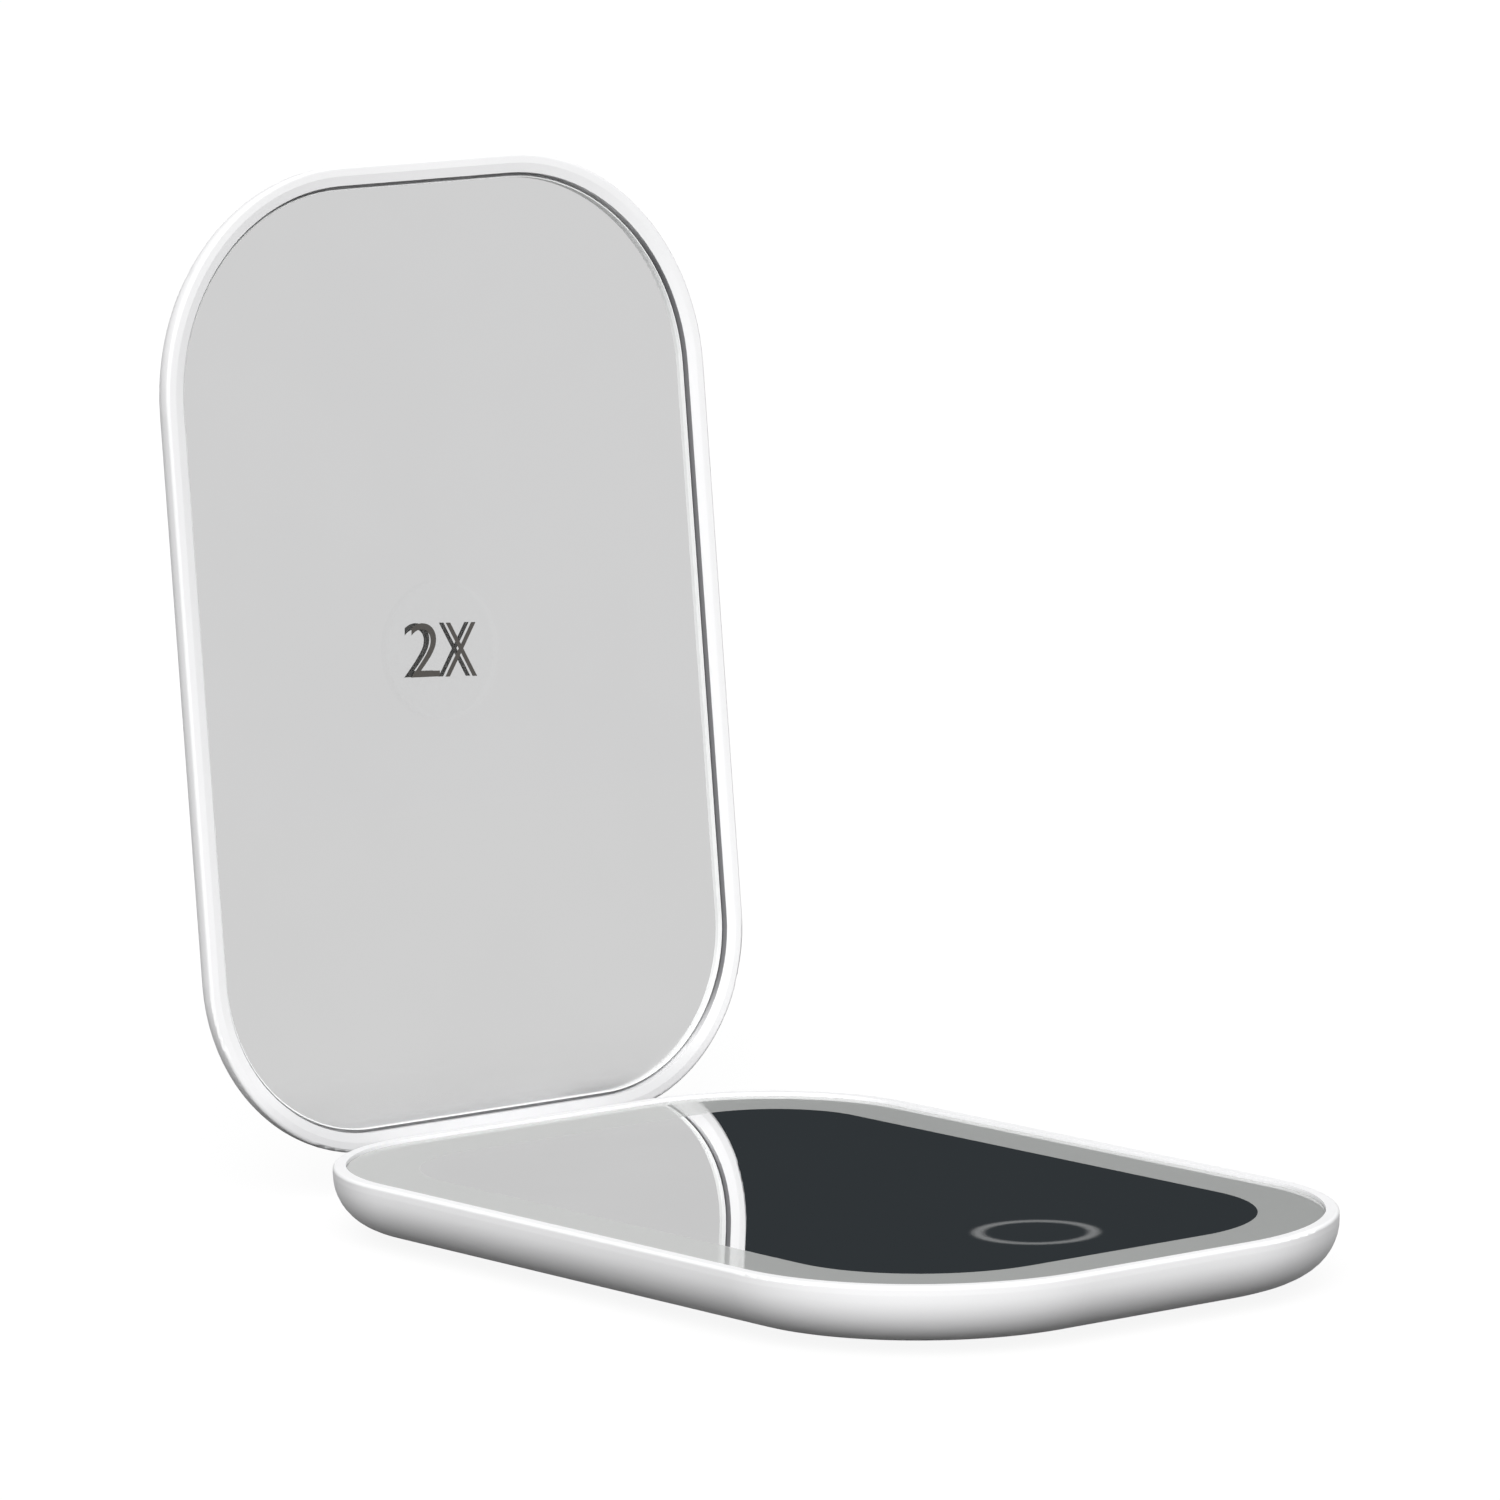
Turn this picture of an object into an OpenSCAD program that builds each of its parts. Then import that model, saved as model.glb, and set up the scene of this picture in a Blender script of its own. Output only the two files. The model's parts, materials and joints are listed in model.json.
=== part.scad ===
// Lighted compact mirror: two equal leaves on a pin hinge.
// The base holds a plain mirror with a frosted light band, the lid a magnifying mirror.
// Origin: middle of the flat foot that the base rests on. +Z is up, +Y points to the hinge.

/* [Leaves] */
// Width of both leaves
leaf_w = 70; // [62:1:84]
// Length of both leaves, hinge end to free end
leaf_l = 102.4; // [92:0.2:120]
// Corner radius at the hinge end
hinge_end_r = 19.5; // [17.5:0.5:20]
// Corner radius at the free end
free_end_r = 24; // [20:0.5:26]

/* [Base shell] */
// Wall of the base shell, seen from above as the rim round the glass
base_wall = 1.35; // [1.1:0.05:1.5]
// Straight height of the base side below the rim
base_side_h = 0.9; // [0.8:0.1:1.1]
// Radius between the side and the belly
base_edge_r = 5.3; // [5.2:0.1:5.4]
// Slope of the belly towards the foot
belly_deg = 7; // [6:0.5:7]
// Distance from the outline to the flat foot
foot_in = 15; // [14:0.5:17]
// Rounding of the rim's outer edge
rim_round = 0.35; // [0.1:0.05:0.5]

/* [Base mirror and light] */
// Height of the rim above the glass
lip_h = 0.35; // [0.1:0.05:0.6]
// Thickness of the base glass
base_glass_t = 1.2; // [1:0.1:1.3]
// Thickness of the adhesive under the glass
tape_t = 0.1; // [0.05:0.05:0.2]
// Thickness of the light guide
guide_t = 0.75; // [0.6:0.05:0.8]
// Inner edge of the light guide, measured from the outline
guide_in = 9.6; // [9.3:0.1:10]
// Thickness of the reflector sheet and of the LED strip
sheet_t = 0.15; // [0.1:0.05:0.2]
// Width of the LED strip
strip_w = 1.8; // [1.6:0.1:2]
// LEDs along each long side
side_leds = 9; // [5:1:11]
// LEDs along each short side
end_leds = 4; // [2:1:5]
// Radius of the touch mark in the glass
touch_mark_r = 6.1; // [4:0.1:8]
// Distance from the free end to the touch mark
touch_in = 20.4; // [18:0.1:24]

/* [Base inside] */
// Thickness of the light frame's floor
frame_floor_t = 0.6; // [0.5:0.05:0.7]
// Thickness of the light frame's platform
platform_t = 0.74; // [0.6:0.02:0.8]
// Width of the battery
battery_w = 32; // [24:1:34]
// Length of the battery
battery_l = 42; // [30:1:44]
// Thickness of the battery
battery_t = 2.8; // [2.2:0.1:3]
// Thickness of the battery's adhesive pad
pad_t = 0.15; // [0.1:0.05:0.2]
// Thickness of the circuit board
board_t = 0.6; // [0.5:0.1:0.8]
// Length of the circuit board
board_l = 26; // [22:1:28]
// Width of the circuit board's plain part
board_w = 42; // [38:1:44]
// Width of the charging socket
socket_w = 7.5; // [7:0.1:8]
// Height of the charging socket
socket_h = 2.4; // [2.2:0.05:2.45]
// Depth of the charging socket
socket_d = 5.5; // [5:0.1:6]
// Radius of the closing magnets
magnet_r = 3; // [2:0.1:3.3]
// Radius of the screws' threads
screw_r = 0.8; // [0.6:0.05:0.9]

/* [Lid] */
// Wall of the lid shell
lid_wall = 0.95; // [0.9:0.05:1.1]
// Straight height of the lid side below the face
lid_side_h = 0.6; // [0.6:0.05:1.4]
// Radius between the lid side and its back
lid_edge_r = 2.9; // [2.7:0.1:3.2]
// Slope of the lid's back
lid_back_deg = 6; // [5:0.5:7]
// Distance from the outline to the flat of the back
lid_flat_in = 13; // [12:0.5:15]
// Height of the bezel band seen from the side
bezel_h = 0.55; // [0.4:0.05:0.55]
// Width of the bezel's face
bezel_w = 2.05; // [2:0.05:2.6]
// Width of the bezel's flat outer part, before it slopes to the glass
bezel_flat_w = 1.05; // [0.6:0.05:1.4]
// Depth of the bezel's slope
bezel_slope = 0.2; // [0.1:0.05:0.3]
// Depth of the lid glass below the bezel face
lid_recess = 0.7; // [0.5:0.05:0.8]
// Thickness of the lid glass
lid_glass_t = 1.2; // [1.1:0.1:1.3]
// Radius of the clear sticker on the lid glass
sticker_r = 7.3; // [5:0.1:10]
// Thickness of the clear sticker
sticker_t = 0.1; // [0.05:0.05:0.15]
// Distance of the clear sticker from the lid's middle, towards the left of someone who looks in
sticker_left = 1.8; // [0:0.1:3]
// Thickness of the lid's deck
deck_t = 0.83; // [0.7:0.01:0.9]

/* [Hinge] */
// Opening angle shown
open_deg = 95.2; // [0:0.2:110]
// Distance of the hinge pin behind the leaves' rear edge
pin_back = 1.5; // [1.5:0.05:1.8]
// Height of the hinge pin above the foot
pin_z = 3.8; // [3.6:0.1:3.9]
// Gap between the closed leaves
leaf_gap = 0.44; // [0.3:0.02:0.8]
// Radius of the hinge pin
pin_r = 1; // [0.8:0.05:1.1]
// Radius of the knuckles
knuckle_r = 2.8; // [2.6:0.05:3]
// Half width of the lid's knuckle
lid_knuckle_w = 7.8; // [6:0.1:9]
// Half width of the whole hinge
hinge_half_w = 15.4; // [13:0.1:16.4]

/* [Clearances] */
// Gap between pieces that are set into each other
fit_gap = 0.1; // [0.05:0.05:0.12]
// Gap round the lid glass
glass_gap = 0.35; // [0.2:0.05:0.5]
// Gap between the leaves' moving pieces
move_gap = 0.3; // [0.25:0.05:0.4]
// Radial clearance of the pin in its friction sleeve
pin_gap = 0.03; // [0.02:0.01:0.08]

/* [Hidden] */
$fn = 96;

// The side's arc turns from upright to the belly's slope, then a straight flank runs to the foot.
function arc_end_in(r, slope) = r * (1 - sin(slope));
function bowl_h(side, r, slope, flat_in) =
    side + r * cos(slope) + (flat_in - arc_end_in(r, slope)) * tan(slope);

base_h = bowl_h(base_side_h, base_edge_r, belly_deg, foot_in);
lid_t = bowl_h(lid_side_h, lid_edge_r, lid_back_deg, lid_flat_in);

// Depth to which the sides are swept; the rest of each leaf is one flat core
sweep_in = hinge_end_r - 1;

// Heights in the base, from the glass down
glass_top = base_h - lip_h;
glass_z = glass_top - base_glass_t;
frame_top = glass_z - tape_t;
guide_z = frame_top - 0.05 - guide_t;
strip_z = guide_z - sheet_t;
frame_z = strip_z - frame_floor_t;
platform_z = frame_top - platform_t;

// Insets in the base, from the outline inwards
frame_in = base_wall + fit_gap;
ledge_w = 0.95;
guide_out = frame_in + ledge_w + fit_gap;
strip_in = guide_in + fit_gap;
frame_wall_in = strip_in + strip_w + fit_gap;
frame_wall_w = 0.8;
led_depth = 1;
led_w = 2.8;
led_h = 0.6;

// Places on the base
touch_y = touch_in - leaf_l / 2;
battery_y = 12;
battery_front_y = battery_y - battery_l / 2;
board_gap = 5;
board_rear_y = battery_front_y - board_gap;
board_z = 2.75;
board_top = board_z + board_t;
socket_inset = 2.9;
socket_mouth_x = leaf_w / 2 - socket_inset;
socket_rear = 5;
socket_y = touch_y + socket_rear;
socket_up = 0.15;
socket_z = board_z + board_t / 2 - socket_h / 2 + socket_up;
boss_r = 1.35;
boss_gap = 0.2;
boss_x = leaf_w / 2 - frame_wall_in - frame_wall_w - boss_gap - boss_r;
boss_front_in = 1;
boss_front_y = battery_front_y - boss_front_in;
boss_span = 34;
boss_rear_y = boss_front_y + boss_span;
screw_head_r = 1.5;
screw_head_h = 0.5;
screw_tip_up = 0.6;
board_tip_up = 0.3;
post_r = 1.6;
chip_h = 0.8;
coil_h = 1.1;
small_h = 0.6;
hole_rear_in = 3;
board_holes = [[-board_w / 2 + 4, board_rear_y - hole_rear_in], [board_w / 2 - 8, board_rear_y - hole_rear_in]];

// The closing magnets sit in the free end's corners, inside the light frame's wall
magnet_h = 1.2;
magnet_gap = 0.5;
magnet_deg = 60;
magnet_reach = free_end_r - frame_wall_in - frame_wall_w - magnet_gap - magnet_r;
magnet_x = leaf_w / 2 - free_end_r + magnet_reach * cos(magnet_deg);
magnet_y = free_end_r - leaf_l / 2 - magnet_reach * sin(magnet_deg);

// The hinge pin's axis, and the face of the closed lid
hinge_y = leaf_l / 2 + pin_back;
lid_face_z = base_h + leaf_gap;
sleeve_r = pin_r + 0.6;
web_z = 1.9;

// Heights in the lid, from its flat back up to its face
lid_glass_top = lid_t - lid_recess;
lid_glass_z = lid_glass_top - lid_glass_t;
deck_top = lid_glass_z - tape_t;
deck_z = deck_top - deck_t;
lid_part_z = lid_t - bezel_h;
lid_magnet_h = 1.15;
lid_screw_side_in = 15;
lid_screw_end_in = 21.2;
lid_screw_x = leaf_w / 2 - lid_screw_side_in;
lid_screw_y = leaf_l / 2 - lid_screw_end_in;

plastic_white = [0.94, 0.95, 0.96];
mirror_grey = [0.78, 0.79, 0.8];
dark_mirror = [0.22, 0.23, 0.25];
steel = [0.72, 0.73, 0.75];
board_green = [0.1, 0.4, 0.25];
amber = [0.85, 0.6, 0.25];
near_black = [0.12, 0.12, 0.13];

// Outline

// Rounded outline of a leaf, drawn in by an inset
module outline(inset = 0) {
    hx = leaf_w / 2 - inset;
    hy = leaf_l / 2 - inset;
    rh = hinge_end_r - inset;
    rf = free_end_r - inset;
    translate([rh - hx, 0]) square([2 * (hx - rh), hy]);
    translate([rf - hx, -hy]) square([2 * (hx - rf), hy]);
    translate([-hx, rf - hy]) square([2 * hx, 2 * hy - rf - rh]);
    for (s = [-1, 1]) {
        translate([s * (hx - rh), hy - rh]) circle(rh);
        translate([s * (hx - rf), rf - hy]) circle(rf);
    }
}

// Flat plate between two heights, drawn in by an inset
module plate(inset, z0, z1) {
    translate([0, 0, z0]) linear_extrude(z1 - z0) outline(inset);
}

// Flat ring between two insets and two heights
module ring(outer_in, inner_in, z0, z1) {
    translate([0, 0, z0]) linear_extrude(z1 - z0) difference() {
        outline(outer_in);
        outline(inner_in);
    }
}

// Sweeps a section round the leaf. The section's X is the distance inwards from the outline.
module sweep_round() {
    for (s = [-1, 1]) {
        translate([s * (leaf_w / 2 - hinge_end_r), leaf_l / 2 - hinge_end_r, 0])
            rotate([0, 0, s > 0 ? 0 : 90]) corner(hinge_end_r) children();
        translate([s * (leaf_w / 2 - free_end_r), free_end_r - leaf_l / 2, 0])
            rotate([0, 0, s > 0 ? 270 : 180]) corner(free_end_r) children();
    }
    for (side = [0, 1]) mirror([side, 0, 0])
        translate([0, leaf_l / 2 - hinge_end_r, 0]) rotate([90, 0, 0])
            linear_extrude(leaf_l - hinge_end_r - free_end_r)
                translate([leaf_w / 2, 0]) mirror([1, 0]) children();
    translate([hinge_end_r - leaf_w / 2, 0, 0]) rotate([90, 0, 90])
        linear_extrude(leaf_w - 2 * hinge_end_r)
            translate([leaf_l / 2, 0]) mirror([1, 0]) children();
    translate([free_end_r - leaf_w / 2, 0, 0]) rotate([90, 0, 90])
        linear_extrude(leaf_w - 2 * free_end_r)
            translate([-leaf_l / 2, 0]) children();
}

// A quarter turn of the section about a corner's centre
module corner(r) {
    rotate_extrude(angle = 90) translate([r, 0]) mirror([1, 0]) children();
}

// Section of a bowl's solid, offset inwards by a wall: upright side, round edge, sloped belly
module bowl_section(h, side, r, slope, wall, up) {
    arc_z = h - side;
    end_in = r - (r - wall) * sin(slope);
    end_z = arc_z - (r - wall) * cos(slope);
    floor_in = end_in + (end_z - wall) / tan(slope);
    translate([wall, arc_z]) square([sweep_in - wall, side + up]);
    intersection() {
        translate([r, arc_z]) circle(r - wall);
        translate([0, arc_z - r]) square([r, r]);
    }
    polygon([[r, arc_z], [end_in, end_z], [floor_in, wall], [sweep_in, wall], [sweep_in, arc_z]]);
}

// Solid of a bowl, offset inwards by a wall, which runs up past its rim by a height
module bowl(h, side, r, slope, wall, up) {
    sweep_round() bowl_section(h, side, r, slope, wall, up);
    plate(sweep_in, wall, h + up);
}

module base_bowl(wall = 0, up = 0) {
    bowl(base_h, base_side_h, base_edge_r, belly_deg, wall, up);
}

module lid_bowl(wall = 0, up = 0) {
    bowl(lid_t, lid_side_h, lid_edge_r, lid_back_deg, wall, up);
}

// Takes the sharp outer edge off a rim whose top is at a height
module rim_edge_cut(top, r) {
    sweep_round() difference() {
        translate([-1, top - r]) square([1 + r, r + 1]);
        translate([r, top - r]) circle(r);
    }
}

// Small shared shapes

module block(x, y, z, centre) {
    translate([centre[0] - x / 2, centre[1] - y / 2, centre[2]]) cube([x, y, z]);
}

module post(r, z0, z1) {
    translate([0, 0, z0]) cylinder(r = r, h = z1 - z0);
}

// Rod along X, centred on the hinge pin's axis
module hinge_rod(r, x0, x1) {
    translate([x0, hinge_y, pin_z]) rotate([0, 90, 0]) cylinder(r = r, h = x1 - x0);
}

module both_sides() {
    children();
    mirror([1, 0, 0]) children();
}

module at_bosses() {
    for (y = [boss_front_y, boss_rear_y], s = [-1, 1]) translate([s * boss_x, y, 0]) children();
}

module at_magnets() {
    for (s = [-1, 1]) translate([s * magnet_x, magnet_y, 0]) children();
}

module at_lid_screws() {
    for (y = [-lid_screw_y, lid_screw_y], s = [-1, 1]) translate([s * lid_screw_x, y, 0]) children();
}

// Flat-headed screw with its head's top at a height
module screw(r, head_r, head_h, top, tip) {
    post(head_r, top - head_h, top);
    post(r, tip, top - head_h);
}

// Places a lid piece, drawn back down like the base, on the opened lid
module on_lid() {
    open_pose() translate([0, 0, lid_face_z + lid_t]) mirror([0, 0, 1]) children();
}

// Turns the closed lid about the hinge pin
module open_pose() {
    translate([0, hinge_y, pin_z]) rotate([-open_deg, 0, 0]) translate([0, -hinge_y, -pin_z]) children();
}

// Base pieces

module socket_space(gap) {
    translate([socket_mouth_x - socket_d - gap, socket_y - socket_w / 2 - gap, socket_z - gap])
        cube([socket_d + gap, socket_w + 2 * gap, socket_h + 2 * gap]);
}

// Way through the shell's side to the socket's mouth
module socket_way() {
    socket_space(fit_gap);
    translate([socket_mouth_x - fit_gap, socket_y - socket_w / 2 - move_gap, socket_z - fit_gap])
        cube([leaf_w / 2 - socket_mouth_x + 1, socket_w + 2 * move_gap, socket_h + 2 * fit_gap]);
}

// One of the base's two knuckles, with the web that joins it to the rear wall
module base_knuckle() {
    hinge_rod(knuckle_r, lid_knuckle_w + move_gap, hinge_half_w);
    translate([lid_knuckle_w + move_gap, leaf_l / 2 - base_edge_r, web_z])
        cube([hinge_half_w - lid_knuckle_w - move_gap, base_edge_r + pin_back, pin_z + knuckle_r - web_z]);
}

module base_shell() {
    color(plastic_white) difference() {
        union() {
            base_bowl();
            both_sides() base_knuckle();
        }
        difference() {
            base_bowl(base_wall, 1);
            at_bosses() post(boss_r, 0, platform_z);
            board_posts(post_r, 0, board_z);
        }
        rim_edge_cut(base_h, rim_round);
        hinge_rod(pin_r, -hinge_half_w - 1, hinge_half_w + 1);
        hinge_rod(knuckle_r + move_gap, -lid_knuckle_w - move_gap, lid_knuckle_w + move_gap);
        socket_way();
        at_bosses() post(screw_r, base_wall, platform_z + 1);
        board_posts(screw_r, base_wall, board_z + 1);
    }
}

module board_posts(r, z0, z1) {
    for (p = board_holes) translate([p[0], p[1], 0]) post(r, z0, z1);
}

module light_frame() {
    color(plastic_white) difference() {
        intersection() {
            base_bowl(frame_in);
            plate(0, frame_z, frame_top);
        }
        ring(frame_in + ledge_w, frame_wall_in, strip_z, frame_top + 1);
        plate(frame_wall_in + frame_wall_w, frame_z - 1, platform_z);
        socket_space(fit_gap);
        translate([socket_mouth_x - socket_d - 1, socket_y - socket_w / 2 - move_gap, frame_z - 1])
            cube([socket_d + 5, socket_w + 2 * move_gap, strip_z - frame_z + 1]);
        strip_tail(fit_gap);
        translate([0, touch_y, 0]) post(spring_r + move_gap, platform_z - 1, frame_top + 1);
        at_bosses() post(screw_r + fit_gap, platform_z - 1, frame_top + 1);
        at_bosses() post(screw_head_r + fit_gap, frame_top - screw_head_h, frame_top + 1);
    }
}

module base_mirror() {
    color(dark_mirror) plate(frame_in, glass_z, glass_top);
}

module glass_tape() {
    color(near_black) {
        ring(frame_in, frame_in + ledge_w, frame_top, glass_z);
        difference() {
            plate(frame_wall_in, frame_top, glass_z);
            translate([0, touch_y, 0]) post(touch_mark_r, 0, base_h);
        }
    }
}

module light_guide() {
    color([0.9, 0.93, 0.95]) ring(guide_out, guide_in, guide_z, guide_z + guide_t);
}

module reflector_sheet() {
    color("white") ring(guide_out, guide_in, strip_z, guide_z);
}

// Tail of the LED strip, which runs through the frame to the connector
module strip_tail(gap) {
    tail_w = 7;
    y0 = frame_wall_in - fit_gap - leaf_l / 2 - 0.2;
    translate([-tail_w / 2 - gap, y0, strip_z - gap])
        cube([tail_w + 2 * gap, 4, sheet_t + 2 * gap]);
}

module led_strip() {
    color(amber) {
        ring(strip_in, strip_in + strip_w, strip_z, guide_z);
        strip_tail(0);
    }
}

// One LED, its face outwards, at the origin
module led() {
    translate([-led_w / 2, 0, guide_z]) cube([led_w, led_depth, led_h]);
}

module leds() {
    led_in = strip_in + 0.05;
    side_run = leaf_l - hinge_end_r - free_end_r;
    side_mid = (free_end_r - hinge_end_r) / 2;
    end_run = leaf_w - 2 * free_end_r;
    color([0.95, 0.9, 0.6]) {
        both_sides() for (i = [0 : side_leds - 1])
            translate([leaf_w / 2 - led_in, side_mid + side_run * ((i + 0.5) / side_leds - 0.5), 0])
                rotate([0, 0, 90]) led();
        for (end = [0, 1]) mirror([0, end, 0]) for (i = [0 : end_leds - 1])
            translate([end_run * ((i + 0.5) / end_leds - 0.5), led_in - leaf_l / 2, 0]) led();
        both_sides() {
            corner_led(hinge_end_r, 1);
            corner_led(free_end_r, -1);
        }
    }
}

// One LED in the middle of a corner
module corner_led(r, end) {
    translate([leaf_w / 2 - r, end * (leaf_l / 2 - r), 0]) rotate([0, 0, end * 45 + 90])
        translate([0, strip_in + 0.05 - r, 0]) led();
}

module main_board() {
    socket_side_w = 14;
    board_edge_in = 2.5;
    color(board_green) difference() {
        union() {
            block(board_w, board_l, board_t, [0, board_rear_y - board_l / 2, board_z]);
            translate([0, socket_y - socket_side_w / 2, board_z])
                cube([socket_mouth_x - board_edge_in, socket_side_w, board_t]);
        }
        socket_space(fit_gap);
        board_posts(screw_r + fit_gap, board_z - 1, board_top + 1);
        difference() {
            block(leaf_w, leaf_l, base_h, [0, 0, 0]);
            base_bowl(frame_in);
        }
    }
}

module board_chips() {
    chip_w = 4;
    small_w = 3;
    chip_x = 7;
    color(near_black) {
        block(chip_w, chip_w, chip_h, [-chip_x, touch_y + 2 * chip_w, board_top]);
        block(small_w, small_w, chip_h, [chip_x, touch_y + 2 * chip_w, board_top]);
        block(chip_w, chip_w, coil_h, [chip_x, touch_y + small_w, board_top]);
        block(small_w, small_w / 2, small_h, [-chip_x, touch_y + small_w / 2, board_top]);
        block(small_w, small_w / 2, small_h, [2 * chip_x, touch_y + 2 * small_w, board_top]);
    }
}

module strip_connector() {
    plug_w = 8;
    plug_l = 3;
    plug_in = frame_wall_in + frame_wall_w + plug_l / 2 + move_gap;
    color([0.92, 0.9, 0.84])
        block(plug_w, plug_l, strip_z - board_top, [0, plug_in - leaf_l / 2, board_top]);
}

module charge_socket() {
    shell_t = 0.3;
    color(steel) difference() {
        socket_space(0);
        translate([socket_mouth_x - socket_d + 1, socket_y - socket_w / 2 + shell_t, socket_z + shell_t])
            cube([socket_d, socket_w - 2 * shell_t, socket_h - 2 * shell_t]);
    }
    color(near_black)
        translate([socket_mouth_x - socket_d + 0.9, socket_y - socket_w / 2 + 2, socket_z + 0.9])
            cube([socket_d - 1.6, socket_w - 4, 0.6]);
}

module touch_pad() {
    color([0.8, 0.5, 0.3]) translate([0, touch_y, 0]) post(touch_mark_r - 0.5, frame_top, glass_z);
}

spring_r = 1.4;

module touch_spring() {
    color(steel) translate([0, touch_y, 0]) difference() {
        post(spring_r, board_top, frame_top);
        post(spring_r - 0.35, board_top - 1, frame_top + 1);
    }
}

module battery() {
    color([0.75, 0.77, 0.8])
        block(battery_w, battery_l, battery_t, [0, battery_y, base_wall + pad_t]);
}

module battery_pad() {
    color("white") block(battery_w - 4, battery_l - 4, pad_t, [0, battery_y, base_wall]);
}

// Two leads from the battery's front edge to the board
module battery_leads() {
    lead_r = 0.4;
    lead_x = 2;
    lead_on_board = 2;
    color([0.8, 0.15, 0.12]) for (s = [-1, 1])
        translate([s * lead_x, battery_front_y, board_top + lead_r])
            rotate([90, 0, 0]) cylinder(r = lead_r, h = board_gap + lead_on_board);
}

module base_magnets() {
    color(steel) at_magnets() post(magnet_r, platform_z - magnet_h, platform_z);
}

module frame_screws() {
    color(steel) at_bosses()
        screw(screw_r, screw_head_r, screw_head_h, frame_top, base_wall + screw_tip_up);
}

module board_screws() {
    color(steel) for (p = board_holes) translate([p[0], p[1], 0])
        screw(screw_r, screw_head_r, screw_head_h, board_top + screw_head_h, base_wall + board_tip_up);
}

module hinge_pin() {
    color(steel) hinge_rod(pin_r, -hinge_half_w + 0.3, hinge_half_w - 0.3);
}

// Lid pieces

// Knuckle of the lid, with the arm that carries the lid shell, drawn on the closed lid
module lid_arm() {
    face = lid_face_z - pin_z;
    clear = move_gap - pin_back + 0.05;
    root = -pin_back - lid_wall + 0.15;
    arm_w = 1.7;
    arm_z = face + bezel_h + fit_gap;
    arm_top = face + lid_side_h + 0.65 * lid_edge_r;
    foot = [[knuckle_r * 0.97, 1], [root + arm_w, arm_top], [root, arm_top],
            [root, arm_z], [clear, arm_z], [clear, 0], [knuckle_r * 0.97, 0]];
    difference() {
        union() {
            hinge_rod(knuckle_r, -lid_knuckle_w, lid_knuckle_w);
            translate([-lid_knuckle_w, hinge_y, pin_z]) rotate([90, 0, 90])
                linear_extrude(2 * lid_knuckle_w) polygon(foot);
        }
        hinge_rod(sleeve_r, -lid_knuckle_w - 1, lid_knuckle_w + 1);
    }
}

module lid_shell() {
    color(plastic_white) {
        on_lid() difference() {
            lid_bowl();
            difference() {
                lid_bowl(lid_wall, 1);
                at_lid_screws() post(screw_head_r, 0, deck_z);
            }
            plate(-1, lid_part_z, lid_t + 1);
            at_lid_screws() post(screw_r - 0.2, lid_wall - 0.3, deck_z + 1);
        }
        open_pose() lid_arm();
    }
}

module lid_bezel() {
    inner = lid_wall + fit_gap;
    color(plastic_white) on_lid() difference() {
        union() {
            intersection() {
                lid_bowl();
                plate(0, lid_part_z, lid_t);
            }
            intersection() {
                lid_bowl(inner);
                plate(0, deck_z, lid_t - bezel_h / 2);
            }
        }
        rim_edge_cut(lid_t, rim_round);
        plate(bezel_w, deck_top, lid_t + 1);
        sweep_round() polygon([[bezel_flat_w, lid_t], [bezel_w + 0.01, lid_t - bezel_slope],
                               [bezel_w + 0.01, lid_t + 1], [bezel_flat_w, lid_t + 1]]);
        at_magnets() post(magnet_r + fit_gap, 0, lid_t);
        at_lid_screws() post(screw_r - 0.2 + fit_gap, 0, lid_t);
        at_lid_screws() post(screw_head_r + fit_gap, deck_top - screw_head_h, lid_t);
    }
}

module lid_mirror() {
    color(mirror_grey) on_lid() plate(bezel_w + glass_gap, lid_glass_z, lid_glass_top);
}

// Clear round sticker on the middle of the lid glass
module power_sticker() {
    color([0.85, 0.87, 0.88]) on_lid() translate([-sticker_left, 0, 0])
        post(sticker_r, lid_glass_top, lid_glass_top + sticker_t);
}

module lid_tape() {
    color(near_black) on_lid() plate(bezel_w + glass_gap + 1, deck_top, lid_glass_z);
}

module lid_magnets() {
    color(steel) on_lid() at_magnets() post(magnet_r, deck_top - lid_magnet_h, deck_top);
}

module lid_screws() {
    color(steel) on_lid() at_lid_screws()
        screw(screw_r - 0.2, screw_head_r, screw_head_h, deck_top, lid_wall - 0.2);
}

// Split spring sleeve that grips the pin, pressed into the lid's knuckle
module friction_sleeve() {
    slit = 0.4;
    color(steel) open_pose() difference() {
        hinge_rod(sleeve_r, -lid_knuckle_w + 0.2, lid_knuckle_w - 0.2);
        hinge_rod(pin_r + pin_gap, -lid_knuckle_w - 1, lid_knuckle_w + 1);
        translate([-lid_knuckle_w - 1, hinge_y - slit / 2, pin_z])
            cube([2 * lid_knuckle_w + 2, slit, sleeve_r + 1]);
    }
}

base_shell();
light_frame();
base_mirror();
glass_tape();
light_guide();
reflector_sheet();
led_strip();
leds();
main_board();
board_chips();
strip_connector();
charge_socket();
touch_pad();
touch_spring();
battery();
battery_pad();
battery_leads();
base_magnets();
frame_screws();
board_screws();
hinge_pin();
lid_shell();
lid_bezel();
lid_mirror();
power_sticker();
lid_tape();
lid_magnets();
lid_screws();
friction_sleeve();
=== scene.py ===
"""Finishes for a lighted compact mirror, the pieces that its solids leave out, and a plain studio."""
import json
import math

import bmesh
import bpy
from mathutils import Matrix, Vector


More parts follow.
